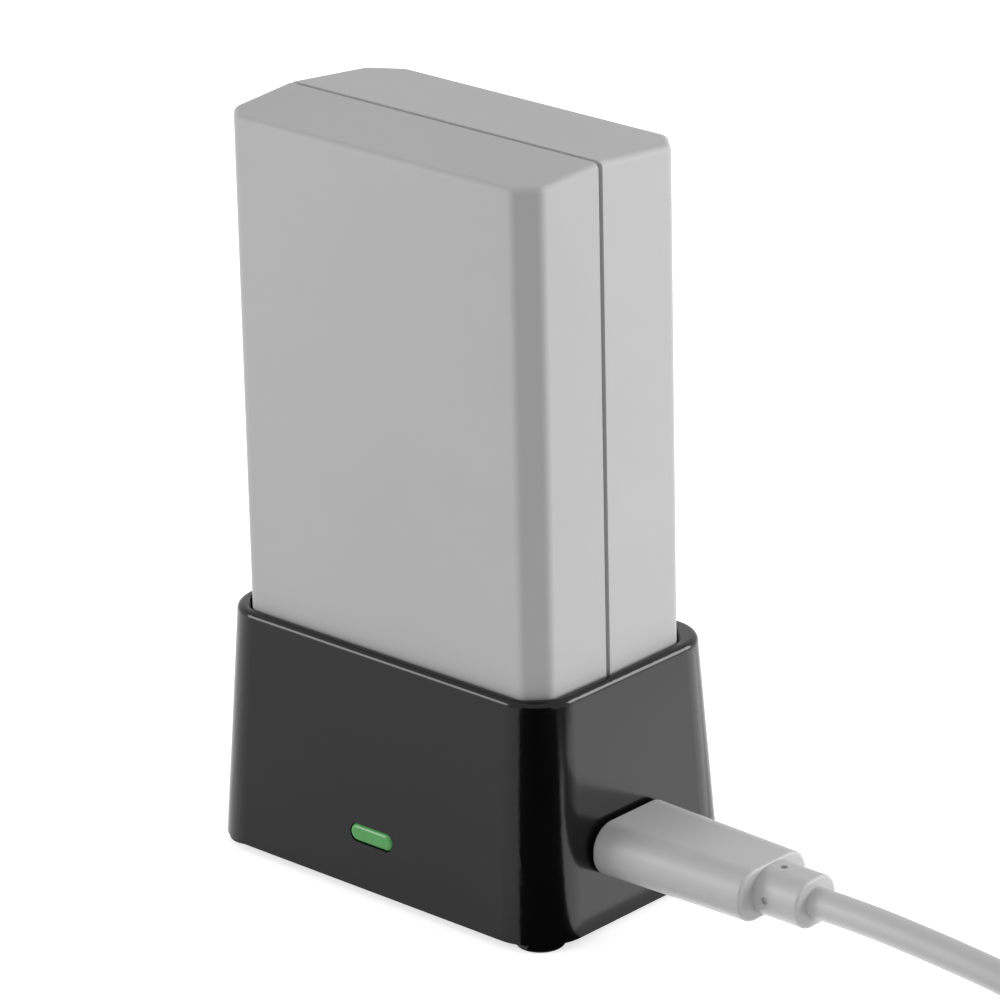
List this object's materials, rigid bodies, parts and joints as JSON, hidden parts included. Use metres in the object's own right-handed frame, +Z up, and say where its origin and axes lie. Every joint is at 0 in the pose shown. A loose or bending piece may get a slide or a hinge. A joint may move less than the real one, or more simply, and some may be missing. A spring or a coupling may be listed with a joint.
{
  "type": "flash battery charger",
  "caption": "Black tapered desk dock that charges an upright flash battery, lit by a small green window and fed by a USB-C cable plugged into its end.",
  "frame": {"origin": "centre of the dock's underside, in the plane of its feet", "axes": "+Z up, +X along the wide faces towards the cable, +Y to the back; the status light faces -Y"},
  "size_m": [0.1615, 0.0501, 0.0821],
  "materials": {
    "dock_plastic": "satin",
    "cover_plastic": "fine texture",
    "screw_steel": "blackened",
    "board_laminate": "satin",
    "plated_steel": "bright plated",
    "black_insulator": "matte",
    "contact_brass": "plated",
    "light_window": "translucent",
    "led_body": "gloss",
    "chip_black": "matte",
    "ferrite": "matte",
    "ceramic": "matte",
    "battery_plastic": "fine texture",
    "cell": "sleeved",
    "nickel": "satin",
    "cable_grip": "satin",
    "cord_jacket": "satin",
    "tie_fabric": "woven",
    "white_insulator": "matte"
  },
  "bodies": {
    "root": {"housing": "dock_plastic", "base_cover": "cover_plastic", "cover_screws": "screw_steel", "circuit_board": "board_laminate", "usb_socket_shell": "plated_steel", "usb_socket_insulator": "black_insulator", "contact_block": "black_insulator", "contact_blade_negative": "contact_brass", "contact_blade_sense": "contact_brass", "contact_blade_positive": "contact_brass", "light_pipe": "light_window", "status_led": "led_body", "charge_controller": "chip_black", "boost_inductor": "ferrite", "ceramic_capacitors": "ceramic", "battery_front_shell": "battery_plastic", "battery_rear_shell": "battery_plastic", "battery_cell_left": "cell", "battery_cell_right": "cell", "series_strip": "nickel", "negative_strip": "nickel", "positive_strip": "nickel", "protection_board": "board_laminate", "protection_chip": "chip_black", "terminal_block": "black_insulator", "terminal_clips": "contact_brass", "usb_c_plug_shell": "plated_steel", "usb_c_plug_insert": "black_insulator", "usb_c_plug_body": "cable_grip", "usb_c_collar": "cable_grip", "cord": "cord_jacket", "cord_coil": "cord_jacket", "coil_tie": "tie_fabric", "cord_tail": "cord_jacket", "usb_a_collar": "cable_grip", "usb_a_plug_body": "cable_grip", "usb_a_plug_shell": "plated_steel", "usb_a_plug_tongue": "white_insulator", "usb_a_contacts": "contact_brass"}
  },
  "joints": []
}
